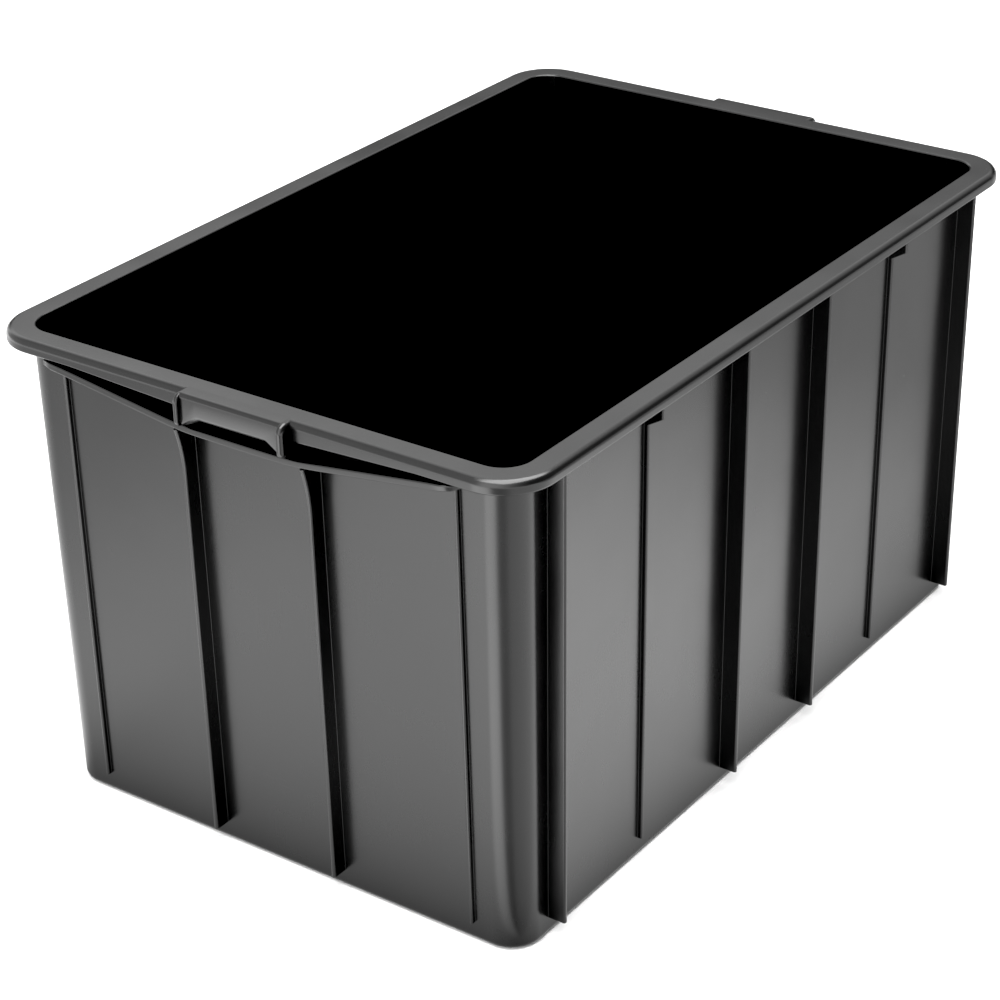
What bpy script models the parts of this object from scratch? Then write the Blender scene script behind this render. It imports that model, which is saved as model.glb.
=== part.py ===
"""Open-top stacking tote, moulded in black plastic, with stacking fins, stiffening ribs and two end grips.

Frame: metres, +Z up, origin at the centre of the underside. The long side runs along Y,
so the two short ends, which carry the grips, face -Y and +Y.
"""
import math

import bmesh
import bpy
from mathutils import Vector

# Overall size of the rim, and the clearance left between neighbouring pieces
RIM_LENGTH = 0.600
RIM_WIDTH = 0.404
HEIGHT = 0.330
GAP = 0.0003

# Tub: the walls lean in by DRAFT from top to bottom
WALL_INSET = 0.0155
WALL = 0.0025
FLOOR = 0.0030
DRAFT = 0.0036
WALL_TOP = 0.3220
WALL_CORNER = 0.0208
BASE_ROUND = 0.0040

# Rim: an inverted channel over the wall top
RIM_BAND = 0.0180
RIM_CORNER = 0.0340
RIM_INNER_CORNER = 0.0183
RIM_PLATE = 0.0028
RIM_ROUND = 0.0045
RIM_INNER_EDGE = 0.0011
SKIRT_WALL = 0.0024
SKIRT_DROP = 0.0092
END_SKIRT_DROP = 0.0130
SKIRT_RAMP_START = 0.1300

# Hand flange: an L-shaped ledge under the rim of each end, dipping towards the middle
FLANGE_HALF = 0.1600
FLANGE_FLAT_HALF = 0.0420
FLANGE_FLAT_TOP = 0.3052
FLANGE_SLOPE = 0.142
FLANGE_PLATE = 0.0027
FLANGE_LIP = 0.0025
FLANGE_LIP_DROP = 0.0045

# Grip lip and its two cheeks, in the middle of each end
GRIP_HALF = 0.0370
GRIP_DEPTH = 0.0050
GRIP_DROP = 0.0176
GRIP_EDGE = 0.0011
GRIP_CHAMFER_RISE = 0.0046
GRIP_CHAMFER_RUN = 0.0032
CHEEK_WIDTH = 0.0030
CHEEK_DEPTH = 0.0080
CHEEK_TOP = 0.3280
CHEEK_BOTTOM = 0.3085
CHEEK_NOSE = 0.0040

# Stacking fins; their feet stop above the base so that one tote nests on the next
FIN_THICKNESS = 0.0030
FIN_FOOT = 0.0125
SIDE_FIN_REACH = 0.0120
END_FIN_REACH = 0.0105
SIDE_FIN_PLACES = (-0.250, -0.050, 0.050, 0.250)
END_FIN_PLACES = (-0.048, 0.048)
FLARE_HEIGHT = 0.034

# Thin ribs; those on the long sides end in a small gusset that reaches the skirt
RIB_THICKNESS = 0.0024
RIB_FOOT = 0.0135
RIB_REACH = 0.0028
SIDE_RIB_PLACES = (-0.150, 0.150)
END_RIB_PLACES = (-0.1485, 0.1485)
GUSSET_BOTTOM = 0.3065
GUSSET_TOP = 0.3125

# Smoothness of the rounds
CORNER_STEPS = 8
ROUND_STEPS = 3
FLARE_STEPS = 8
SHARP_ANGLE = 35

# Values that follow from the sizes above
HALF_LENGTH = RIM_LENGTH / 2
HALF_WIDTH = RIM_WIDTH / 2
CHANNEL_CEILING = HEIGHT - RIM_PLATE
CHANNEL_REACH = HALF_WIDTH - SKIRT_WALL - GAP
SKIRT_BOTTOM = HEIGHT - SKIRT_DROP
FLANGE_RISE_END = FLANGE_FLAT_HALF + (SKIRT_BOTTOM - GAP - FLANGE_FLAT_TOP) / FLANGE_SLOPE


def clear_scene():
    for item in list(bpy.data.objects):
        bpy.data.objects.remove(item, do_unlink=True)


def black_plastic(name, roughness):
    """Black polypropylene with a satin finish."""
    material = bpy.data.materials.new(name)
    material.use_nodes = True
    shader = material.node_tree.nodes["Principled BSDF"]
    shader.inputs["Base Color"].default_value = (0.012, 0.012, 0.013, 1.0)
    shader.inputs["Roughness"].default_value = roughness
    shader.inputs["Metallic"].default_value = 0.0
    return material


def finished_mesh(name, builder, material):
    """Turn a filled bmesh into a mesh with outward faces, smooth over its small rounds."""
    bmesh.ops.recalc_face_normals(builder, faces=builder.faces)
    mesh = bpy.data.meshes.new(name)
    builder.to_mesh(mesh)
    builder.free()
    mesh.materials.append(material)
    mesh.shade_smooth()
    mesh.set_sharp_from_angle(angle=math.radians(SHARP_ANGLE))
    return mesh


def place(name, mesh, root, x=0.0, y=0.0, turned=False):
    """Add one piece under the root; a turned piece serves the opposite wall."""
    item = bpy.data.objects.new(name, mesh)
    item.location = (x, y, 0.0)
    item.rotation_euler = (0.0, 0.0, math.pi if turned else 0.0)
    item.parent = root
    bpy.context.scene.collection.objects.link(item)


def rounded_outline(half_x, half_y, radius, stations=()):
    """Points of a rounded rectangle, anticlockwise; stations adds points at those x on the short ends."""
    corners = (
        (half_x - radius, half_y - radius, 0),
        (radius - half_x, half_y - radius, 90),
        (radius - half_x, radius - half_y, 180),
        (half_x - radius, radius - half_y, 270),
    )
    points = []
    for centre_x, centre_y, start in corners:
        for step in range(CORNER_STEPS + 1):
            angle = math.radians(start + 90 * step / CORNER_STEPS)
            points.append((centre_x + radius * math.cos(angle), centre_y + radius * math.sin(angle)))
        if start == 0:
            points.extend((x, half_y) for x in sorted(stations, reverse=True))
        if start == 180:
            points.extend((x, -half_y) for x in sorted(stations))
    return points


def skin_rings(builder, rings, closed=False):
    """Skin a list of equal rings; closed joins the last ring back to the first."""
    count = len(rings[0])
    pairs = list(zip(rings[:-1], rings[1:]))
    if closed:
        pairs.append((rings[-1], rings[0]))
    for lower, upper in pairs:
        for index in range(count):
            following = (index + 1) % count
            builder.faces.new((lower[index], lower[following], upper[following], upper[index]))


def prism(outline, offset):
    """Extrude a closed planar outline of 3-D points along an offset vector."""
    builder = bmesh.new()
    first = [builder.verts.new(point) for point in outline]
    second = [builder.verts.new(Vector(point) + Vector(offset)) for point in outline]
    builder.faces.new(first)
    builder.faces.new(list(reversed(second)))
    skin_rings(builder, [first, second])
    return builder


def side_plate(outline, thickness):
    """A plate that stands out of a long side: outline holds (reach along X, height)."""
    points = [(reach, -thickness / 2, height) for reach, height in outline]
    return prism(points, (0, thickness, 0))


def end_plate(outline, thickness):
    """A plate that stands out of a short end: outline holds (reach along Y, height)."""
    points = [(-thickness / 2, reach, height) for reach, height in outline]
    return prism(points, (thickness, 0, 0))


def wall_inset(height):
    """How far the wall's outer face sits inside the rim's outer face at a height."""
    return WALL_INSET + DRAFT * (1 - height / HEIGHT)


def side_wall(height):
    """Reach along X that just clears a long side's outer face."""
    return HALF_WIDTH - wall_inset(height) + GAP


def end_wall(height):
    """Reach along Y that just clears a short end's outer face."""
    return HALF_LENGTH - wall_inset(height) + GAP


def base_round(depth, floor_height):
    """Stations (inset, height) of the round between the underside or the floor and the wall."""
    stations = []
    for step in range(ROUND_STEPS + 1):
        angle = math.radians(90 * step / ROUND_STEPS)
        height = floor_height + BASE_ROUND * (1 - math.cos(angle))
        stations.append((wall_inset(height) + depth + BASE_ROUND * (1 - math.sin(angle)), height))
    return stations


def tub_shell(material):
    """Walls and floor, skinned from the foot up, over the wall top and down to the inner floor."""
    sections = base_round(0.0, 0.0)
    sections.append((wall_inset(WALL_TOP), WALL_TOP))
    sections.append((wall_inset(WALL_TOP) + WALL, WALL_TOP))
    sections.extend(reversed(base_round(WALL, FLOOR)))
    builder = bmesh.new()
    rings = []
    for inset, height in sections:
        radius = WALL_CORNER + wall_inset(height) - inset
        outline = rounded_outline(HALF_WIDTH - inset, HALF_LENGTH - inset, radius)
        rings.append([builder.verts.new((x, y, height)) for x, y in outline])
    skin_rings(builder, rings)
    builder.faces.new(list(reversed(rings[0])))
    builder.faces.new(rings[-1])
    return finished_mesh("tub_shell", builder, material)


def skirt_drop(x, y):
    """The skirt deepens along each short end, from the corner to the grip."""
    if abs(y) < HALF_LENGTH - RIM_CORNER:
        return SKIRT_DROP
    share = (SKIRT_RAMP_START - abs(x)) / (SKIRT_RAMP_START - FLANGE_FLAT_HALF)
    return SKIRT_DROP + (END_SKIRT_DROP - SKIRT_DROP) * min(max(share, 0.0), 1.0)


def rim_section():
    """Corners of the rim's section as (inset, height); a height of None is the skirt's lower edge."""
    section = [(0.0, None)]
    for step in range(ROUND_STEPS + 1):
        angle = math.radians(90 * step / ROUND_STEPS)
        section.append((RIM_ROUND * (1 - math.cos(angle)), HEIGHT - RIM_ROUND * (1 - math.sin(angle))))
    section.append((RIM_BAND - RIM_INNER_EDGE, HEIGHT))
    section.append((RIM_BAND, HEIGHT - RIM_INNER_EDGE))
    section.append((RIM_BAND, WALL_TOP + GAP))
    section.append((RIM_BAND - WALL, WALL_TOP + GAP))
    section.append((RIM_BAND - WALL, CHANNEL_CEILING))
    section.append((SKIRT_WALL, CHANNEL_CEILING))
    section.append((SKIRT_WALL, None))
    return section


def rim_collar(material):
    """The rim: inner leg, top plate and skirt, swept round the opening."""
    stations = (-SKIRT_RAMP_START, -FLANGE_FLAT_HALF, FLANGE_FLAT_HALF, SKIRT_RAMP_START)
    builder = bmesh.new()
    rings = []
    for inset, height in rim_section():
        radius = RIM_CORNER - (RIM_CORNER - RIM_INNER_CORNER) * inset / RIM_BAND
        outline = rounded_outline(HALF_WIDTH - inset, HALF_LENGTH - inset, radius, stations)
        ring = []
        for x, y in outline:
            z = HEIGHT - skirt_drop(x, y) if height is None else height
            ring.append(builder.verts.new((x, y, z)))
        rings.append(ring)
    skin_rings(builder, rings, closed=True)
    return finished_mesh("rim_collar", builder, material)


def flange_top(x):
    """Height of the hand flange's upper face, which rises from the middle until it meets the skirt."""
    along = min(max(abs(x), FLANGE_FLAT_HALF), FLANGE_RISE_END) - FLANGE_FLAT_HALF
    return FLANGE_FLAT_TOP + FLANGE_SLOPE * along


def hand_flange(material):
    """The L-shaped ledge of one end: a plate against the wall with a lip along its front."""
    back = end_wall(FLANGE_FLAT_TOP)
    section = (
        (back, 0.0),
        (HALF_LENGTH, 0.0),
        (HALF_LENGTH, -FLANGE_LIP_DROP),
        (HALF_LENGTH - FLANGE_LIP, -FLANGE_LIP_DROP),
        (HALF_LENGTH - FLANGE_LIP, -FLANGE_PLATE),
        (back, -FLANGE_PLATE),
    )
    stations = (FLANGE_FLAT_HALF, FLANGE_RISE_END, FLANGE_HALF)
    builder = bmesh.new()
    rings = []
    for x in [-station for station in reversed(stations)] + list(stations):
        rings.append([builder.verts.new((x, reach, flange_top(x) + drop)) for reach, drop in section])
    skin_rings(builder, rings)
    builder.faces.new(rings[0])
    builder.faces.new(rings[-1])
    return finished_mesh("hand_flange", builder, material)


def grip_lip(material):
    """The bar in front of the skirt: it laps over the rim's rounded edge, and its lower edge slopes back."""
    back = HALF_LENGTH + GAP
    front = back + GRIP_DEPTH
    bottom = HEIGHT - GRIP_DROP
    outline = [(back, bottom)]
    for step in range(ROUND_STEPS):
        angle = math.radians(90 * step / ROUND_STEPS)
        reach = HALF_LENGTH - RIM_ROUND + (RIM_ROUND + GAP) * math.cos(angle)
        outline.append((reach, HEIGHT - RIM_ROUND + (RIM_ROUND + GAP) * math.sin(angle)))
    outline.extend((
        (outline[-1][0], HEIGHT),
        (front - GRIP_EDGE, HEIGHT),
        (front, HEIGHT - GRIP_EDGE),
        (front, bottom + GRIP_CHAMFER_RISE),
        (front - GRIP_CHAMFER_RUN, bottom),
    ))
    return finished_mesh("grip_lip", end_plate(outline, 2 * GRIP_HALF), material)


def grip_cheek(material):
    """The upright ear that closes one end of a grip."""
    back = HALF_LENGTH + GAP
    front = back + CHEEK_DEPTH
    outline = (
        (back, CHEEK_TOP),
        (front - CHEEK_NOSE / 2, CHEEK_TOP),
        (front, CHEEK_TOP - CHEEK_NOSE / 2),
        (front, CHEEK_BOTTOM + CHEEK_NOSE),
        (front - CHEEK_NOSE, CHEEK_BOTTOM),
        (back, CHEEK_BOTTOM),
    )
    return finished_mesh("grip_cheek", end_plate(outline, CHEEK_WIDTH), material)


def side_fin(material):
    """A stacking fin of a long side; its head stands in the rim's channel."""
    head = CHANNEL_CEILING - GAP
    shoulder = SKIRT_BOTTOM - GAP
    tip = min(side_wall(shoulder) + SIDE_FIN_REACH, CHANNEL_REACH)
    outline = (
        (side_wall(FIN_FOOT), FIN_FOOT),
        (side_wall(FIN_FOOT) + SIDE_FIN_REACH, FIN_FOOT),
        (tip, shoulder),
        (tip, head),
        (side_wall(WALL_TOP), head),
        (side_wall(WALL_TOP), WALL_TOP),
    )
    return finished_mesh("side_fin", side_plate(outline, FIN_THICKNESS), material)


def end_fin(material):
    """A stacking fin of a short end; its outer edge flares out to meet the hand flange."""
    ledge = flange_top(END_FIN_PLACES[1] - FIN_THICKNESS / 2)
    lip_bottom = ledge - FLANGE_LIP_DROP - GAP
    head = ledge - FLANGE_PLATE - GAP
    flare_start = lip_bottom - FLARE_HEIGHT
    tip = end_wall(flare_start) + END_FIN_REACH
    behind_lip = HALF_LENGTH - FLANGE_LIP - GAP
    outline = [(end_wall(FIN_FOOT), FIN_FOOT), (end_wall(FIN_FOOT) + END_FIN_REACH, FIN_FOOT)]
    for step in range(FLARE_STEPS + 1):
        share = step / FLARE_STEPS
        outline.append((tip + (HALF_LENGTH - tip) * share ** 2, flare_start + FLARE_HEIGHT * share))
    outline.append((behind_lip, lip_bottom))
    outline.append((behind_lip, head))
    outline.append((end_wall(head), head))
    return finished_mesh("end_fin", end_plate(outline, FIN_THICKNESS), material)


def side_rib(material):
    """A thin rib of a long side, with a small gusset that reaches the skirt."""
    head = CHANNEL_CEILING - GAP
    outline = (
        (side_wall(RIB_FOOT), RIB_FOOT),
        (side_wall(RIB_FOOT) + RIB_REACH, RIB_FOOT),
        (side_wall(GUSSET_BOTTOM) + RIB_REACH, GUSSET_BOTTOM),
        (CHANNEL_REACH, GUSSET_TOP),
        (CHANNEL_REACH, head),
        (side_wall(WALL_TOP), head),
        (side_wall(WALL_TOP), WALL_TOP),
    )
    return finished_mesh("side_rib", side_plate(outline, RIB_THICKNESS), material)


def end_rib(material):
    """A thin rib of a short end, from above the base to the underside of the hand flange."""
    head = flange_top(END_RIB_PLACES[1] - RIB_THICKNESS / 2) - FLANGE_PLATE - GAP
    outline = (
        (end_wall(RIB_FOOT), RIB_FOOT),
        (end_wall(RIB_FOOT) + RIB_REACH, RIB_FOOT),
        (end_wall(head) + RIB_REACH, head),
        (end_wall(head), head),
    )
    return finished_mesh("end_rib", end_plate(outline, RIB_THICKNESS), material)


def place_ends(root, rim_plastic, rib_plastic):
    """Put the flange, the grip, the fins and the ribs on both short ends."""
    flange = hand_flange(rim_plastic)
    lip = grip_lip(rim_plastic)
    cheek = grip_cheek(rim_plastic)
    fin = end_fin(rib_plastic)
    rib = end_rib(rib_plastic)
    cheek_place = GRIP_HALF + GAP + CHEEK_WIDTH / 2
    for label, turned in (("front", True), ("back", False)):
        place(f"hand_flange_{label}", flange, root, turned=turned)
        place(f"grip_lip_{label}", lip, root, turned=turned)
        place(f"grip_cheek_{label}_a", cheek, root, x=-cheek_place, turned=turned)
        place(f"grip_cheek_{label}_b", cheek, root, x=cheek_place, turned=turned)
        for number, x in enumerate(END_FIN_PLACES, start=1):
            place(f"end_fin_{label}_{number}", fin, root, x=x, turned=turned)
        for number, x in enumerate(END_RIB_PLACES, start=1):
            place(f"end_rib_{label}_{number}", rib, root, x=x, turned=turned)


def place_sides(root, rib_plastic):
    """Put the fins and the ribs on both long sides."""
    fin = side_fin(rib_plastic)
    rib = side_rib(rib_plastic)
    for label, turned in (("right", False), ("left", True)):
        for number, y in enumerate(SIDE_FIN_PLACES, start=1):
            place(f"side_fin_{label}_{number}", fin, root, y=y, turned=turned)
        for number, y in enumerate(SIDE_RIB_PLACES, start=1):
            place(f"side_rib_{label}_{number}", rib, root, y=y, turned=turned)


def main():
    clear_scene()
    root = bpy.data.objects.new("tote_origin", None)
    bpy.context.scene.collection.objects.link(root)
    rim_plastic = black_plastic("rim_plastic", 0.30)
    rib_plastic = black_plastic("rib_plastic", 0.42)
    place("tub_shell", tub_shell(black_plastic("wall_plastic", 0.38)), root)
    place("rim_collar", rim_collar(rim_plastic), root)
    place_ends(root, rim_plastic, rib_plastic)
    place_sides(root, rib_plastic)


main()
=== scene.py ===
"""Looks of the open-top stacking tote: finely rounded mouldings in satin black plastic, on a pale floor that the
plastic mirrors as a painted glow.
"""

import math

import bmesh
import bpy
from mathutils import Matrix, Vector


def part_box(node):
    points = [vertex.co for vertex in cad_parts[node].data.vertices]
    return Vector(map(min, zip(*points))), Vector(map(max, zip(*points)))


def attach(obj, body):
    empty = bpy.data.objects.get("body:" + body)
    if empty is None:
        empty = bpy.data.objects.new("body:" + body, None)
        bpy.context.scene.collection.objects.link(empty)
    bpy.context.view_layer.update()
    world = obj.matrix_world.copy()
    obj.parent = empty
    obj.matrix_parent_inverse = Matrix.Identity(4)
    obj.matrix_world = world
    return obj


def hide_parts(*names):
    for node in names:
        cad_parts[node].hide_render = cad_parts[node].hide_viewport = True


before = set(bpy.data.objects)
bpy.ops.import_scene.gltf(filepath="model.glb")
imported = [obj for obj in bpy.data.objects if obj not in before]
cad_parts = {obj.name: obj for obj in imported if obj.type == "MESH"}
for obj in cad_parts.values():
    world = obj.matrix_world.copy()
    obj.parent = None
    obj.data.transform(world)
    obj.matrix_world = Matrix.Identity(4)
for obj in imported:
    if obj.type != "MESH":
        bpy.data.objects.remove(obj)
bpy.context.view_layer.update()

BODY = "root"

# Plan radii of the tub and the rim, and the sections that the frame's boxes do not give
RIM_CORNER = 0.0340
RIM_INNER_CORNER = 0.0183
WALL_CORNER = 0.0208
BASE_ROUND = 0.0045
RIM_TOP_ROUND = 0.0045
RIM_INNER_ROUND = 0.0012
RIM_PLATE = 0.0028
SKIRT_WALL = 0.0024
SKIRT_FOOT_ROUND = 0.0018
WALL = 0.0025
FLOOR = 0.0030
SKIRT_RAMP_START = 0.130
SKIRT_RAMP_END = 0.042

# Hand flange
FLANGE_PLATE = 0.0027
FLANGE_LIP = 0.0026
FLANGE_LIP_DROP = 0.0045
FLANGE_EDGE = 0.0011
FLANGE_STEPS = 48
FLANGE_BEND = 0.020
FLANGE_END_ROUND = 0.014
FLANGE_END_TUCK = 0.75
FLANGE_END_THINNING = 0.35

# Grip
GRIP_GUSSET_START = 0.0255
GRIP_EDGE = 0.0030
GRIP_FOOT_EDGE = 0.0014
GRIP_CHAMFER_RUN = 0.0047
GRIP_CHAMFER_RISE = 0.0058
GRIP_BURY = 0.0055
GRIP_SKIN = 0.00002
CHEEK_SWELL = 0.0012
CHEEK_OUTER_EDGE = (0.0026, 0.0030)
CHEEK_INNER_EDGE = (0.0010, 0.0010)
CHEEK_CROWN = 0.0065
CHEEK_NOSE = 0.0040

# Fins and ribs: fillet at the root, round along the tip, how far they reach into the wall,
# the small edge at the foot, and the share of half the thickness that a tip's round may take
BURY = 0.0012
FIN_FILLET = 0.0002
FIN_TIP_ROUND = 0.0013
RIB_FILLET = 0.0002
RIB_TIP_ROUND = 0.0012
FOOT_EDGE = 0.0004
TIP_LIMIT = 0.97

# Smoothness of the rounds
CORNER_STEPS = 20
ROUND_STEPS = 6
EDGE_STEPS = 4
LIP_STEPS = 5
CROWN_STEPS = 8
RIM_TOP_STEPS = 10
RAMP_STEPS = 12
SHARP_ANGLE = 50

# Camera, seen from the tote's centre
CAMERA_PLACE = (0.96743, -1.37713, 1.01624)
CAMERA_AZIMUTH = 35.869
CAMERA_ELEVATION = 27.568
CAMERA_ROLL = -1.226
CAMERA_LENS = 99.36

# Plastic: roughness of each moulding, how worn it is, and its darkest and lightest tone
WALL_ROUGHNESS = 0.25
RIM_ROUGHNESS = 0.20
RIB_ROUGHNESS = 0.26
WALL_WEAR = 0.25
RIM_WEAR = 0.5
RIB_WEAR = 0.5
TONE = (0.0010, 0.0016)

# Textures: noise scales per metre, what each adds to the roughness or the tone, and depths in metres
CLOUD_SCALE = 7.0
CLOUD_ROUGHNESS = 0.03
CLOUD_DEPTH = 0.0012
SMUDGE_SCALE = 38.0
SMUDGE_ROUGHNESS = 0.02
DRAW_MARK_SCALE = (260.0, 260.0, 3.0)
DRAW_MARK_ROUGHNESS = 0.012
DRAW_MARK_DEPTH = 0.000004
GRAIN_SCALE = 1400.0
GRAIN_DEPTH = 0.000006
SCUFF_SCALE = (30.0, 190.0, 900.0)
SCUFF_RANGE = (0.66, 0.74)
SCUFF_ROUGHNESS = 0.18
SCUFF_TONE = 0.008

# The floor itself
FLOOR_SIZE = 60.0
FLOOR_GAP = 0.0002
FLOOR_COLOUR = (0.80, 0.80, 0.80, 1.0)
FLOOR_ROUGHNESS = 0.9

# The painted glow that the plastic mirrors in place of the floor: its level, and the painted shade round the
# tote's foot, whose depth goes from the first value at the ends to the second at the sides
PAINTED_FLOOR_GLOW = 3.2
SHADE_WIDTH = 0.09
SHADE_DEPTH = (0.78, 0.62)
SHADE_TURN = 0.05

# Painted shade in the floor's glow, to the back and to the left: how much, and between which places it comes in
BACK_DIM = 0.66
BACK_Y = (0.0, 0.65)
BACK_X = (-0.4, 0.0)
LEFT_DIM = 0.5
LEFT_X = (-0.62, -0.2)
LEFT_AWAY = (0.7, 1.2)

# The painted glow round the near corner, which paints bright and dark streaks into the corner's reflection, as
# (angle from -Y towards +X, level), and the distances over which it fades
GLOW_CORNER = (0.19, -0.28)
GLOW_SCALE = 2.0
GLOW_FADE = (1.5, 3.0)
GLOW_ROUND = (
    (-60, 0.5),
    (-37, 0.5),
    (-28, 0.85),
    (-2, 0.85),
    (13, 0.17),
    (32, 0.19),
    (50, 0.32),
    (112, 0.36),
    (140, 0.5),
)

# The room's light: its middle value, its range, what the camera sees, and how it changes with direction
ROOM_LIGHT = 1.76
ROOM_RANGE = (0.25, 4.0)
ROOM_SEEN = 2.0
ROOM_SLOPE = -1.2
ROOM_RIGHT_X = (0.3, 0.7)
ROOM_RIGHT_CHANGE = -1.0
ROOM_FRONT_Y = (-0.9, 0.1)
ROOM_FRONT_CHANGE = 2.1
ROOM_BACK_Y = (0.1, 0.9)
ROOM_BACK_CHANGE = -0.6

# Dim parts of the room: low down at the back, and to the left in front, each with the light left there
ROOM_LOW = (0.30, 0.46)
ROOM_LOW_X = (0.0, 0.4)
ROOM_LOW_Y = (0.2, 0.5)
ROOM_LOW_LIGHT = 0.05
ROOM_LEFT_X = (-0.4, -0.1)
ROOM_LEFT_Y = (0.0, 0.35)
ROOM_LEFT_LIGHT = 0.40

# Softbox above the tote
SOFTBOX_PLACE = (0.22, -0.14, 1.8)
SOFTBOX_AIM = (0.22, -0.14, 0.0)
SOFTBOX_SIZE = (1.25, 2.06)
SOFTBOX_RADIANCE = 8.5

BLACK_LEVEL = 0.008


def corners(node):
    """The CAD node's vertices, in the row frame."""
    return [vertex.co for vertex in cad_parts[node].data.vertices]


RIM_LOW, RIM_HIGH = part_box("rim_collar")
HALF_WIDTH, HALF_LENGTH, HEIGHT = RIM_HIGH
TOLERANCE = 0.0001
STRAIGHT = HALF_LENGTH - RIM_CORNER + TOLERANCE
RIM_BAND = HALF_WIDTH - min(abs(point.x) for point in corners("rim_collar") if abs(point.y) < STRAIGHT)
SKIRT_BOTTOM = min(point.z for point in corners("rim_collar") if point.x > HALF_WIDTH - SKIRT_WALL / 2)
END_SKIRT_BOTTOM = RIM_LOW.z


def wall_line():
    """The tub wall's inset from the rim's outer face at two heights, as the CAD has it."""
    top_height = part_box("tub_shell")[1].z
    top = HALF_WIDTH - max(point.x for point in corners("tub_shell") if point.z > top_height - WALL)
    foot_points = [point for point in corners("tub_shell") if point.z < WALL + FLOOR]
    foot = max(foot_points, key=lambda point: point.x)
    return (foot.z, HALF_WIDTH - foot.x), (top_height, top)


(FOOT_HEIGHT, FOOT_INSET), (TOP_HEIGHT, TOP_INSET) = wall_line()
FOOT_HALF_WIDTH = HALF_WIDTH - FOOT_INSET
FOOT_HALF_LENGTH = HALF_LENGTH - FOOT_INSET


def wall_inset(height):
    """How far the wall's outer face sits inside the rim's outer face at a height."""
    share = (height - FOOT_HEIGHT) / (TOP_HEIGHT - FOOT_HEIGHT)
    return FOOT_INSET + (TOP_INSET - FOOT_INSET) * share


def arc(centre, radii, start, end, steps=ROUND_STEPS):
    """Points of an elliptical arc in a plane, from one angle to another in degrees."""
    points = []
    for step in range(steps + 1):
        angle = math.radians(start + (end - start) * step / steps)
        points.append((centre[0] + radii[0] * math.cos(angle), centre[1] + radii[1] * math.sin(angle)))
    return points


def rounded_outline(half_x, half_y, radius, stations=()):
    """Points of a rounded rectangle, anticlockwise; stations adds points at those x on the short ends."""
    centres = (
        (half_x - radius, half_y - radius, 0),
        (radius - half_x, half_y - radius, 90),
        (radius - half_x, radius - half_y, 180),
        (half_x - radius, radius - half_y, 270),
    )
    points = []
    for centre_x, centre_y, start in centres:
        points.extend(arc((centre_x, centre_y), (radius, radius), start, start + 90, CORNER_STEPS))
        if start == 0:
            points.extend((x, half_y) for x in sorted(stations, reverse=True))
        if start == 180:
            points.extend((x, -half_y) for x in sorted(stations))
    return points


def loft(name, rings, closed=False):
    """A mesh without gaps through equal rings of points: its ends are joined if closed, or else capped."""
    builder = bmesh.new()
    layers = [[builder.verts.new(point) for point in ring] for ring in rings]
    pairs = list(zip(layers[:-1], layers[1:]))
    if closed:
        pairs.append((layers[-1], layers[0]))
    else:
        builder.faces.new(layers[0])
        builder.faces.new(layers[-1])
    count = len(layers[0])
    for lower, upper in pairs:
        for index in range(count):
            following = (index + 1) % count
            builder.faces.new((lower[index], lower[following], upper[following], upper[index]))
    bmesh.ops.recalc_face_normals(builder, faces=builder.faces)
    mesh = bpy.data.meshes.new(name)
    builder.to_mesh(mesh)
    builder.free()
    mesh.shade_smooth()
    mesh.set_sharp_from_angle(angle=math.radians(SHARP_ANGLE))
    return mesh


def add_piece(name, mesh, material, slot, nodes, y=0.0, x=0.0, turned=False):
    """Put a piece in place of the CAD nodes it stands for."""
    piece = bpy.data.objects.new(name, mesh)
    piece.location = (x, y, 0.0)
    piece.rotation_euler = (0.0, 0.0, math.pi if turned else 0.0)
    bpy.context.scene.collection.objects.link(piece)
    if not mesh.materials:
        mesh.materials.append(material)
    weighted = piece.modifiers.new("flat_faces", "WEIGHTED_NORMAL")
    weighted.keep_sharp = True
    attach(piece, BODY)
    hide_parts(*nodes)


# ---------------------------------------------------------------- plastic

def noise(tree, vector, scale, detail=3.0, roughness=0.5):
    """Fractal noise, about 0.5 in the middle."""
    node = tree.nodes.new("ShaderNodeTexNoise")
    node.inputs["Scale"].default_value = scale
    node.inputs["Detail"].default_value = detail
    node.inputs["Roughness"].default_value = roughness
    tree.links.new(vector, node.inputs["Vector"])
    return node.outputs["Fac"]


def stretch(tree, vector, scale):
    """A place scaled along each axis."""
    node = tree.nodes.new("ShaderNodeMapping")
    node.inputs["Scale"].default_value = scale
    tree.links.new(vector, node.inputs["Vector"])
    return node.outputs["Vector"]


def spread(tree, value, low, high, to_low, to_high):
    """Map a value's range onto another, clamped."""
    node = tree.nodes.new("ShaderNodeMapRange")
    node.inputs["From Min"].default_value = low
    node.inputs["From Max"].default_value = high
    node.inputs["To Min"].default_value = to_low
    node.inputs["To Max"].default_value = to_high
    tree.links.new(value, node.inputs["Value"])
    return node.outputs["Result"]


def soft_spread(tree, value, low, high, to_low, to_high):
    """The same, easing in and out."""
    result = spread(tree, value, low, high, to_low, to_high)
    result.node.interpolation_type = "SMOOTHSTEP"
    return result


def calculate(tree, operation, *terms):
    """A math node; each term is a number or another node's output."""
    node = tree.nodes.new("ShaderNodeMath")
    node.operation = operation
    for term, socket in zip(terms, node.inputs):
        if isinstance(term, float):
            socket.default_value = term
        else:
            tree.links.new(term, socket)
    return node.outputs["Value"]


def product(tree, first, *others):
    """All the terms multiplied together."""
    for term in others:
        first = calculate(tree, "MULTIPLY", first, term)
    return first


def dimmed(tree, light, *shares):
    """Light less the share of it that the product of the shares gives."""
    return product(tree, light, calculate(tree, "SUBTRACT", 1.0, product(tree, *shares)))


def distance(tree, x, y):
    """The length of a step in the plane."""
    return calculate(tree, "SQRT", calculate(tree, "ADD", product(tree, x, x), product(tree, y, y)))


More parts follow.
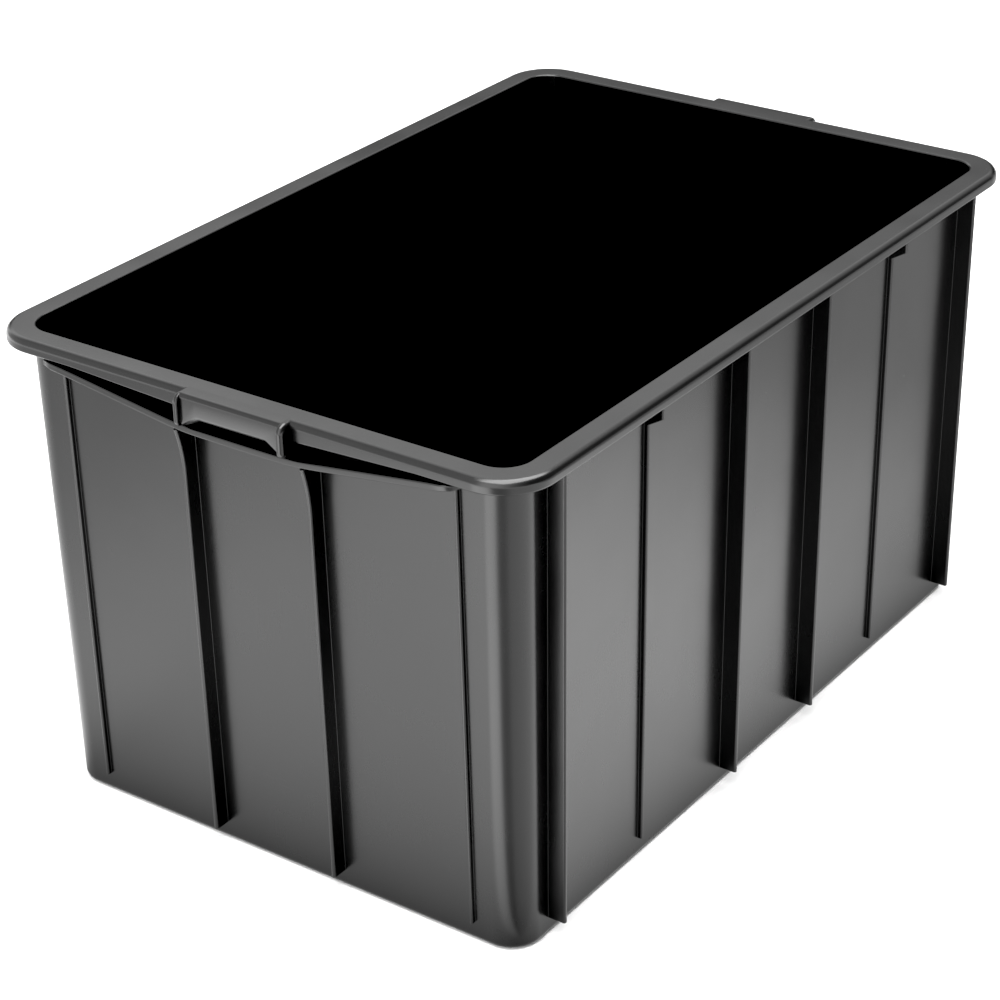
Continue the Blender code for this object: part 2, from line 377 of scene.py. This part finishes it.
def bump(tree, height, depth, normal=None):
    """A surface relief, laid over another one where a normal is given."""
    node = tree.nodes.new("ShaderNodeBump")
    node.inputs["Strength"].default_value = 1.0
    node.inputs["Distance"].default_value = depth
    tree.links.new(height, node.inputs["Height"])
    if normal is not None:
        tree.links.new(normal, node.inputs["Normal"])
    return node.outputs["Normal"]


def plastic(name, roughness, wear):
    """Satin black polypropylene: cloudy gloss, smudges, upright draw marks, fine grain and light scuffs."""
    material = bpy.data.materials.new(name)
    material.use_nodes = True
    tree = material.node_tree
    shader = tree.nodes["Principled BSDF"]
    place = tree.nodes.new("ShaderNodeTexCoord").outputs["Object"]

    clouds = noise(tree, place, CLOUD_SCALE, 2.0)
    smudges = noise(tree, place, SMUDGE_SCALE, 5.0, 0.6)
    draw_marks = noise(tree, stretch(tree, place, DRAW_MARK_SCALE), 1.0, 3.0, 0.6)
    grain = noise(tree, place, GRAIN_SCALE, 2.0)
    scuffs = noise(tree, stretch(tree, place, SCUFF_SCALE), 1.0, 6.0, 0.7)
    scuffed = spread(tree, scuffs, *SCUFF_RANGE, 0.0, wear)

    rough = spread(tree, clouds, 0.3, 0.7, roughness - CLOUD_ROUGHNESS, roughness + CLOUD_ROUGHNESS)
    rough = calculate(tree, "ADD", rough, spread(tree, smudges, 0.35, 0.7, 0.0, SMUDGE_ROUGHNESS))
    rough = calculate(tree, "ADD", rough, spread(tree, draw_marks, 0.4, 0.75, 0.0, DRAW_MARK_ROUGHNESS))
    rough = calculate(tree, "ADD", rough, product(tree, scuffed, SCUFF_ROUGHNESS))
    tree.links.new(rough, shader.inputs["Roughness"])

    tone = spread(tree, smudges, 0.3, 0.7, *TONE)
    tone = calculate(tree, "ADD", tone, product(tree, scuffed, SCUFF_TONE))
    colour = tree.nodes.new("ShaderNodeCombineColor")
    for channel in ("Red", "Green", "Blue"):
        tree.links.new(tone, colour.inputs[channel])
    tree.links.new(colour.outputs["Color"], shader.inputs["Base Color"])

    waves = bump(tree, clouds, CLOUD_DEPTH)
    fine = bump(tree, draw_marks, DRAW_MARK_DEPTH, waves)
    surface = bump(tree, grain, GRAIN_DEPTH, fine)
    tree.links.new(surface, shader.inputs["Normal"])
    return material


# ---------------------------------------------------------------- tub and rim

def build_tub(material):
    """Walls and floor in one skin, with rounded bottom edges inside and out."""
    sections = []
    for across, up in arc((BASE_ROUND, BASE_ROUND), (BASE_ROUND, BASE_ROUND), 270, 180):
        sections.append((wall_inset(up) + across, up))
    top = HEIGHT - RIM_PLATE / 2
    sections.append((wall_inset(top), top))
    sections.append((wall_inset(top) + WALL, top))
    for across, up in arc((BASE_ROUND, BASE_ROUND), (BASE_ROUND, BASE_ROUND), 180, 270):
        sections.append((wall_inset(FLOOR + up) + WALL + across, FLOOR + up))
    rings = []
    for inset, height in sections:
        radius = WALL_CORNER + wall_inset(height) - inset
        outline = rounded_outline(HALF_WIDTH - inset, HALF_LENGTH - inset, radius)
        rings.append([(x, y, height) for x, y in outline])
    add_piece("tub", loft("tub", rings), material, "wall_plastic", ["tub_shell"])


def skirt_bottom(x, y):
    """Height of the skirt's lower edge, which dips towards the grip along each short end."""
    if abs(y) < HALF_LENGTH - RIM_CORNER:
        return SKIRT_BOTTOM
    share = (SKIRT_RAMP_START - abs(x)) / (SKIRT_RAMP_START - SKIRT_RAMP_END)
    return SKIRT_BOTTOM + (END_SKIRT_BOTTOM - SKIRT_BOTTOM) * min(max(share, 0.0), 1.0)


def rim_section():
    """The rim's section as (inset, height above the skirt's foot, depth below the top), one of the two None."""
    section = []
    foot = SKIRT_FOOT_ROUND
    for across, up in arc((SKIRT_WALL, foot), (SKIRT_WALL, foot), 270, 180):
        section.append((across, up, None))
    top_round = (RIM_TOP_ROUND, RIM_TOP_ROUND)
    for across, down in arc(top_round, top_round, 180, 270, RIM_TOP_STEPS):
        section.append((across, None, down))
    inner = RIM_BAND - RIM_INNER_ROUND
    for across, down in arc((inner, RIM_INNER_ROUND), (RIM_INNER_ROUND, RIM_INNER_ROUND), 270, 360):
        section.append((across, None, down))
    leg_depth = RIM_PLATE * 2
    leg_back = RIM_BAND - WALL / 2
    section.append((RIM_BAND, None, leg_depth))
    section.append((leg_back, None, leg_depth))
    section.append((leg_back, None, RIM_PLATE))
    section.append((SKIRT_WALL, None, RIM_PLATE))
    return section


def build_rim(material):
    """The channel rim, swept round the opening."""
    span = SKIRT_RAMP_START - SKIRT_RAMP_END
    ramp = [SKIRT_RAMP_END + span * step / RAMP_STEPS for step in range(RAMP_STEPS + 1)]
    stations = ramp + [-x for x in ramp]
    rings = []
    for inset, above_skirt, below_top in rim_section():
        radius = RIM_CORNER - (RIM_CORNER - RIM_INNER_CORNER) * inset / RIM_BAND
        outline = rounded_outline(HALF_WIDTH - inset, HALF_LENGTH - inset, radius, stations)
        ring = []
        for x, y in outline:
            height = HEIGHT - below_top if above_skirt is None else skirt_bottom(x, y) + above_skirt
            ring.append((x, y, height))
        rings.append(ring)
    add_piece("rim", loft("rim", rings, closed=True), material, "rim_plastic", ["rim_collar"])


# ---------------------------------------------------------------- fins and ribs

def outer_edge(node, axis, centre_inset):
    """The plate's outer edge as (height, reach) pairs going up, read off the CAD node."""
    edge = {}
    for point in corners(node):
        key = round(point.z, 5)
        edge[key] = max(edge.get(key, 0.0), abs(point[axis]))
    return [(z, reach) for z, reach in sorted(edge.items()) if reach > centre_inset - wall_inset(z) + BURY]


def plate_section(root, tip, half, fillet, tip_round):
    """Plan of a plate as (reach, offset along the wall): filleted at the root and rounded at the tip."""
    half_arc = arc((root + fillet, half + fillet), (fillet, fillet), 180, 270, EDGE_STEPS)
    half_arc.insert(0, (root - BURY, half + fillet))
    half_arc.extend(arc((tip - tip_round, half - tip_round), (tip_round, tip_round), 90, 0, EDGE_STEPS))
    return half_arc + [(reach, -offset) for reach, offset in reversed(half_arc)]


def plate_mesh(name, node, axis, fillet, tip_round):
    """A fin or a rib in its own frame: it stands out along X (axis 0) or Y (axis 1) from a centred root."""
    low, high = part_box(node)
    half = (high[1 - axis] - low[1 - axis]) / 2
    outer = (HALF_WIDTH, HALF_LENGTH)[axis]
    edge = outer_edge(node, axis, outer)
    foot, foot_reach = edge[0]
    stations = [(foot, foot_reach - FOOT_EDGE, half - FOOT_EDGE), (foot + FOOT_EDGE, foot_reach, half)]
    stations.extend((z, reach, half) for z, reach in edge[1:])
    rings = []
    for z, tip, thickness in stations:
        tip_edge = min(tip_round, thickness * TIP_LIMIT)
        ring = plate_section(outer - wall_inset(z), tip, thickness, fillet, tip_edge)
        if axis == 0:
            rings.append([(reach, offset, z) for reach, offset in ring])
        else:
            rings.append([(offset, reach, z) for reach, offset in ring])
    return loft(name, rings)


def build_plates(kind, axis, walls, count, fillet, tip_round, material):
    """All the copies of one kind of fin or rib; the second wall takes turned copies."""
    mesh = plate_mesh(kind, f"{kind}_{walls[0]}_1", axis, fillet, tip_round)
    for wall in walls:
        for number in range(1, count + 1):
            node = f"{kind}_{wall}_{number}"
            low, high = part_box(node)
            middle = (low + high) / 2
            turned = middle[axis] < 0
            place = {"y": middle.y} if axis == 0 else {"x": middle.x}
            add_piece(f"{node}_moulding", mesh, material, "rib_plastic", [node], turned=turned, **place)


# ---------------------------------------------------------------- ends

def flange_lift(x):
    """Rise of the hand flange above its level middle, with a soft bend where the slope starts and ends."""
    low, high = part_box("hand_flange_back")
    raised = [point for point in corners("hand_flange_back") if point.z > high.z - FLANGE_LIP_DROP / 2]
    rise_end = min(abs(point.x) for point in raised)
    slope = (high.z - low.z - FLANGE_LIP_DROP) / (rise_end - SKIRT_RAMP_END)
    begun = abs(x) - SKIRT_RAMP_END
    ended = abs(x) - rise_end
    soft = FLANGE_BEND ** 2 / 4
    return slope * (begun + math.sqrt(begun * begun + soft) - ended - math.sqrt(ended * ended + soft)) / 2


def flange_mesh():
    """The ledge under the rim of the +Y end: a plate from the wall, turned down along its front."""
    low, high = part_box("hand_flange_back")
    half = high.x
    level = low.z + FLANGE_LIP_DROP
    rings = []
    for step in range(FLANGE_STEPS + 1):
        x = -half + 2 * half * step / FLANGE_STEPS
        past = max(abs(x) - (half - FLANGE_END_ROUND), 0.0) / FLANGE_END_ROUND
        tuck = FLANGE_END_ROUND * (1 - math.sqrt(max(1 - past * past, 0.0)))
        front = HALF_LENGTH - tuck * FLANGE_END_TUCK
        back = HALF_LENGTH - wall_inset(level) - BURY
        top = level + flange_lift(x)
        drop = FLANGE_LIP_DROP * (1 - FLANGE_END_THINNING * past)
        edge = FLANGE_EDGE
        section = [(back, top)]
        section.extend(arc((front - edge, top - edge), (edge, edge), 90, 0, EDGE_STEPS))
        section.extend(arc((front - edge, top - drop + edge), (edge, edge), 0, -90, EDGE_STEPS))
        section.append((front - FLANGE_LIP, top - drop))
        section.append((front - FLANGE_LIP, top - FLANGE_PLATE))
        section.append((back, top - FLANGE_PLATE))
        rings.append([(x, reach, z) for reach, z in section])
    return loft("hand_flange", rings)


def lip_mesh():
    """The grip's bar on the +Y end: a round nose over a sloped underside, with a gusset at each end."""
    low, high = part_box("grip_lip_back")
    cheek_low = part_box("grip_cheek_back_b")[0]
    half = high.x
    front = high.y
    back = HALF_LENGTH - SKIRT_WALL / 2
    top = HEIGHT + GRIP_SKIN
    rings = []
    for x in (-half - BURY, -GRIP_GUSSET_START, GRIP_GUSSET_START, half + BURY):
        deep = abs(x) > half
        face = cheek_low.z + GRIP_FOOT_EDGE if deep else low.z + GRIP_CHAMFER_RISE
        under = cheek_low.z if deep else low.z
        nose = front - (GRIP_FOOT_EDGE if deep else GRIP_CHAMFER_RUN)
        section = [(HALF_LENGTH - GRIP_BURY, top)]
        section.extend(arc((front - GRIP_EDGE, top - GRIP_EDGE), (GRIP_EDGE, GRIP_EDGE), 90, 0, LIP_STEPS))
        section.append((front, face))
        section.append((nose, under))
        section.append((back, under))
        section.append((back, top - RIM_PLATE))
        section.append((HALF_LENGTH - GRIP_BURY, top - RIM_PLATE))
        rings.append([(x, reach, z) for reach, z in section])
    return loft("grip_lip", rings)


def cheek_mesh(outward):
    """The cheek that closes one end of the +Y grip: level with the rim, full and round on the outward side."""
    low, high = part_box("grip_cheek_back_b")
    half = (high.x - low.x) / 2
    back = HALF_LENGTH - SKIRT_WALL / 2
    over_rim = HALF_LENGTH - GRIP_BURY
    front = high.y
    top = HEIGHT - GRIP_SKIN
    stations = []
    outer_side = (1, CHEEK_OUTER_EDGE, half + CHEEK_SWELL, (0, 90))
    inner_side = (-1, CHEEK_INNER_EDGE, half, (90, 0))
    for sign, edge, reach, angles in (outer_side, inner_side):
        for x, inset in arc((reach - edge[0], -edge[1]), edge, *angles):
            stations.append((outward * sign * x, -inset))
    rings = []
    for x, inset in stations:
        crown = CHEEK_CROWN - inset
        nose = CHEEK_NOSE - inset
        outline = [(back, low.z + inset), (back, HEIGHT - RIM_PLATE)]
        outline.extend([(over_rim, HEIGHT - RIM_PLATE), (over_rim, top - inset)])
        outline.extend(arc((front - CHEEK_CROWN, top - CHEEK_CROWN), (crown, crown), 90, 0, CROWN_STEPS))
        outline.extend(arc((front - CHEEK_NOSE, low.z + CHEEK_NOSE), (nose, nose), 0, -90))
        rings.append([(x, reach, z) for reach, z in outline])
    return loft("grip_cheek", rings)


def build_ends(material):
    """The flange and the grip of both short ends."""
    flange = flange_mesh()
    lip = lip_mesh()
    cheeks = {outward: cheek_mesh(outward) for outward in (-1, 1)}
    for label, turned in (("front", True), ("back", False)):
        for mesh, node in ((flange, f"hand_flange_{label}"), (lip, f"grip_lip_{label}")):
            add_piece(f"{node}_moulding", mesh, material, "rim_plastic", [node], turned=turned)
        for letter in ("a", "b"):
            node = f"grip_cheek_{label}_{letter}"
            low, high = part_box(node)
            middle = (low.x + high.x) / 2
            outward = 1 if (middle > 0) != turned else -1
            cheek = cheeks[outward]
            add_piece(f"{node}_moulding", cheek, material, "rim_plastic", [node], x=middle, turned=turned)


# ---------------------------------------------------------------- studio

def outside(tree, coordinate, half):
    """How far a coordinate lies beyond the tote's foot, on either side."""
    beyond = calculate(tree, "SUBTRACT", calculate(tree, "ABSOLUTE", coordinate), half)
    return calculate(tree, "MAXIMUM", beyond, 0.0)


def painted_corner_glow(tree, x, y):
    """How the painted glow changes with the direction from the near corner, painting bright and dark streaks into
    the corner's reflection, and fading out far from it.
    """
    corner_x = calculate(tree, "SUBTRACT", x, GLOW_CORNER[0])
    corner_y = calculate(tree, "SUBTRACT", GLOW_CORNER[1], y)
    angle = calculate(tree, "ARCTAN2", corner_x, corner_y)
    ramp = tree.nodes.new("ShaderNodeValToRGB")
    tree.links.new(spread(tree, angle, -math.pi, math.pi, 0.0, 1.0), ramp.inputs["Fac"])
    ramp.color_ramp.interpolation = "EASE"
    stops = ramp.color_ramp.elements
    for degrees, level in GLOW_ROUND:
        stops.new(degrees / 360 + 0.5).color = (level, level, level, 1.0)
    # The ramp's own first and last stops go
    stops.remove(stops[0])
    stops.remove(stops[-1])
    change = calculate(tree, "SUBTRACT", product(tree, ramp.outputs["Color"], GLOW_SCALE), 1.0)
    reach = distance(tree, corner_x, corner_y)
    change = product(tree, change, soft_spread(tree, reach, *GLOW_FADE, 1.0, 0.0))
    return calculate(tree, "ADD", change, 1.0)


def painted_floor_glow(tree):
    """Painted glow that the plastic mirrors in place of the floor: a painted pool of light, with painted shade
    round the tote's foot, at the back and at the left.
    """
    place = tree.nodes.new("ShaderNodeNewGeometry").outputs["Position"]
    split = tree.nodes.new("ShaderNodeSeparateXYZ")
    tree.links.new(place, split.inputs["Vector"])
    x, y = split.outputs["X"], split.outputs["Y"]
    outside_x = outside(tree, x, FOOT_HALF_WIDTH)
    away = distance(tree, outside_x, outside(tree, y, FOOT_HALF_LENGTH))
    # Painted shade round the tote's foot, fading with distance from it
    painted_shade_fading = calculate(tree, "EXPONENT", product(tree, away, -1.0 / SHADE_WIDTH))
    painted_shade_depth = spread(tree, outside_x, 0.0, SHADE_TURN, *SHADE_DEPTH)
    # Painted shade on the glow, to the back and to the left
    back_y = soft_spread(tree, y, *BACK_Y, 0.0, BACK_DIM)
    back_x = soft_spread(tree, x, *BACK_X, 0.0, 1.0)
    left_x = soft_spread(tree, x, *LEFT_X, LEFT_DIM, 0.0)
    left_away = soft_spread(tree, away, *LEFT_AWAY, 1.0, 0.0)
    glow = painted_corner_glow(tree, x, y)
    glow = dimmed(tree, glow, painted_shade_fading, painted_shade_depth)
    glow = dimmed(tree, glow, back_y, back_x)
    glow = dimmed(tree, glow, left_x, left_away)
    return product(tree, glow, PAINTED_FLOOR_GLOW)


def add_floor():
    """A wide, plain, pale floor; in the plastic's reflections it glows instead, with a painted pool of light and
    painted shade, though it is no lamp.
    """
    bpy.ops.mesh.primitive_plane_add(size=FLOOR_SIZE, location=(0.0, 0.0, -FLOOR_GAP))
    floor = bpy.context.object
    floor.name = "studio_floor"
    material = bpy.data.materials.new("studio_paper_and_painted_glow")
    material.use_nodes = True
    tree = material.node_tree
    shader = tree.nodes["Principled BSDF"]
    shader.inputs["Base Color"].default_value = FLOOR_COLOUR
    shader.inputs["Roughness"].default_value = FLOOR_ROUGHNESS
    shader.inputs["Specular IOR Level"].default_value = 0.0
    # Painted glow: an emission that only the plastic's glossy reflections see, in place of the paper
    painted_reflection = tree.nodes.new("ShaderNodeEmission")
    tree.links.new(painted_floor_glow(tree), painted_reflection.inputs["Strength"])
    choose = tree.nodes.new("ShaderNodeMixShader")
    light_path = tree.nodes.new("ShaderNodeLightPath")
    tree.links.new(light_path.outputs["Is Glossy Ray"], choose.inputs["Fac"])
    tree.links.new(shader.outputs["BSDF"], choose.inputs[1])
    tree.links.new(painted_reflection.outputs["Emission"], choose.inputs[2])
    tree.links.new(choose.outputs["Shader"], tree.nodes["Material Output"].inputs["Surface"])
    floor.data.materials.append(material)


def add_softbox(name, place, aim, size, radiance):
    """A rectangular softbox that faces a point."""
    light = bpy.data.lights.new(name, "AREA")
    light.shape = "RECTANGLE"
    light.size, light.size_y = size
    light.energy = radiance * math.pi * size[0] * size[1]
    lamp = bpy.data.objects.new(name, light)
    lamp.location = place
    lamp.rotation_euler = (Vector(aim) - Vector(place)).to_track_quat("-Z", "Y").to_euler()
    bpy.context.scene.collection.objects.link(lamp)


def add_sky():
    """A soft white room, seen as plain white: brighter to the left and in front, dim low down at the back."""
    world = bpy.data.worlds.new("studio_room")
    bpy.context.scene.world = world
    world.use_nodes = True
    tree = world.node_tree
    direction = tree.nodes.new("ShaderNodeTexCoord").outputs["Generated"]
    split = tree.nodes.new("ShaderNodeSeparateXYZ")
    tree.links.new(direction, split.inputs["Vector"])
    x, y, z = split.outputs["X"], split.outputs["Y"], split.outputs["Z"]
    changes = (
        product(tree, x, ROOM_SLOPE),
        spread(tree, x, *ROOM_RIGHT_X, 0.0, ROOM_RIGHT_CHANGE),
        spread(tree, y, *ROOM_FRONT_Y, ROOM_FRONT_CHANGE, 0.0),
        spread(tree, y, *ROOM_BACK_Y, 0.0, ROOM_BACK_CHANGE),
    )
    light = ROOM_LIGHT
    for change in changes:
        light = calculate(tree, "ADD", light, change)
    light = calculate(tree, "MAXIMUM", light, ROOM_RANGE[0])
    light = calculate(tree, "MINIMUM", light, ROOM_RANGE[1])
    low_z = soft_spread(tree, z, *ROOM_LOW, 1.0 - ROOM_LOW_LIGHT, 0.0)
    low_x = soft_spread(tree, x, *ROOM_LOW_X, 1.0, 0.0)
    low_y = soft_spread(tree, y, *ROOM_LOW_Y, 0.0, 1.0)
    light = dimmed(tree, light, low_z, low_x, low_y)
    left_y = soft_spread(tree, y, *ROOM_LEFT_Y, 1.0 - ROOM_LEFT_LIGHT, 0.0)
    left_x = soft_spread(tree, x, *ROOM_LEFT_X, 1.0, 0.0)
    light = dimmed(tree, light, left_y, left_x)
    seen = tree.nodes.new("ShaderNodeLightPath").outputs["Is Camera Ray"]
    strength = calculate(tree, "MAXIMUM", light, product(tree, seen, ROOM_SEEN))
    background = tree.nodes["Background"]
    background.inputs["Color"].default_value = (1.0, 1.0, 1.0, 1.0)
    tree.links.new(strength, background.inputs["Strength"])


def add_camera():
    """The photograph's viewpoint."""
    azimuth = math.radians(CAMERA_AZIMUTH)
    elevation = math.radians(CAMERA_ELEVATION)
    roll = math.radians(CAMERA_ROLL)
    camera = bpy.data.cameras.new("camera")
    camera.lens = CAMERA_LENS
    item = bpy.data.objects.new("camera", camera)
    turn = Matrix.Rotation(azimuth, 4, "Z") @ Matrix.Rotation(math.pi / 2 - elevation, 4, "X")
    item.matrix_world = Matrix.Translation(CAMERA_PLACE) @ turn @ Matrix.Rotation(roll, 4, "Z")
    bpy.context.scene.collection.objects.link(item)
    bpy.context.scene.camera = item


def main():
    """The tote's pieces, then the studio."""
    wall_plastic = plastic("wall_plastic_black", WALL_ROUGHNESS, WALL_WEAR)
    rim_plastic = plastic("rim_plastic_black", RIM_ROUGHNESS, RIM_WEAR)
    rib_plastic = plastic("rib_plastic_black", RIB_ROUGHNESS, RIB_WEAR)
    build_tub(wall_plastic)
    build_rim(rim_plastic)
    build_plates("side_fin", 0, ("right", "left"), 4, FIN_FILLET, FIN_TIP_ROUND, rib_plastic)
    build_plates("side_rib", 0, ("right", "left"), 2, RIB_FILLET, RIB_TIP_ROUND, rib_plastic)
    build_plates("end_fin", 1, ("back", "front"), 2, FIN_FILLET, FIN_TIP_ROUND, rib_plastic)
    build_plates("end_rib", 1, ("back", "front"), 2, RIB_FILLET, RIB_TIP_ROUND, rib_plastic)
    build_ends(rim_plastic)
    add_floor()
    add_sky()
    add_softbox("overhead_softbox", SOFTBOX_PLACE, SOFTBOX_AIM, SOFTBOX_SIZE, SOFTBOX_RADIANCE)
    add_camera()
    scene = bpy.context.scene
    scene.view_settings.view_transform = "Standard"
    scene.view_settings.use_curve_mapping = True
    scene.view_settings.curve_mapping.black_level = (BLACK_LEVEL, BLACK_LEVEL, BLACK_LEVEL)
    scene.view_settings.curve_mapping.update()
    scene.cycles.use_denoising = True


main()
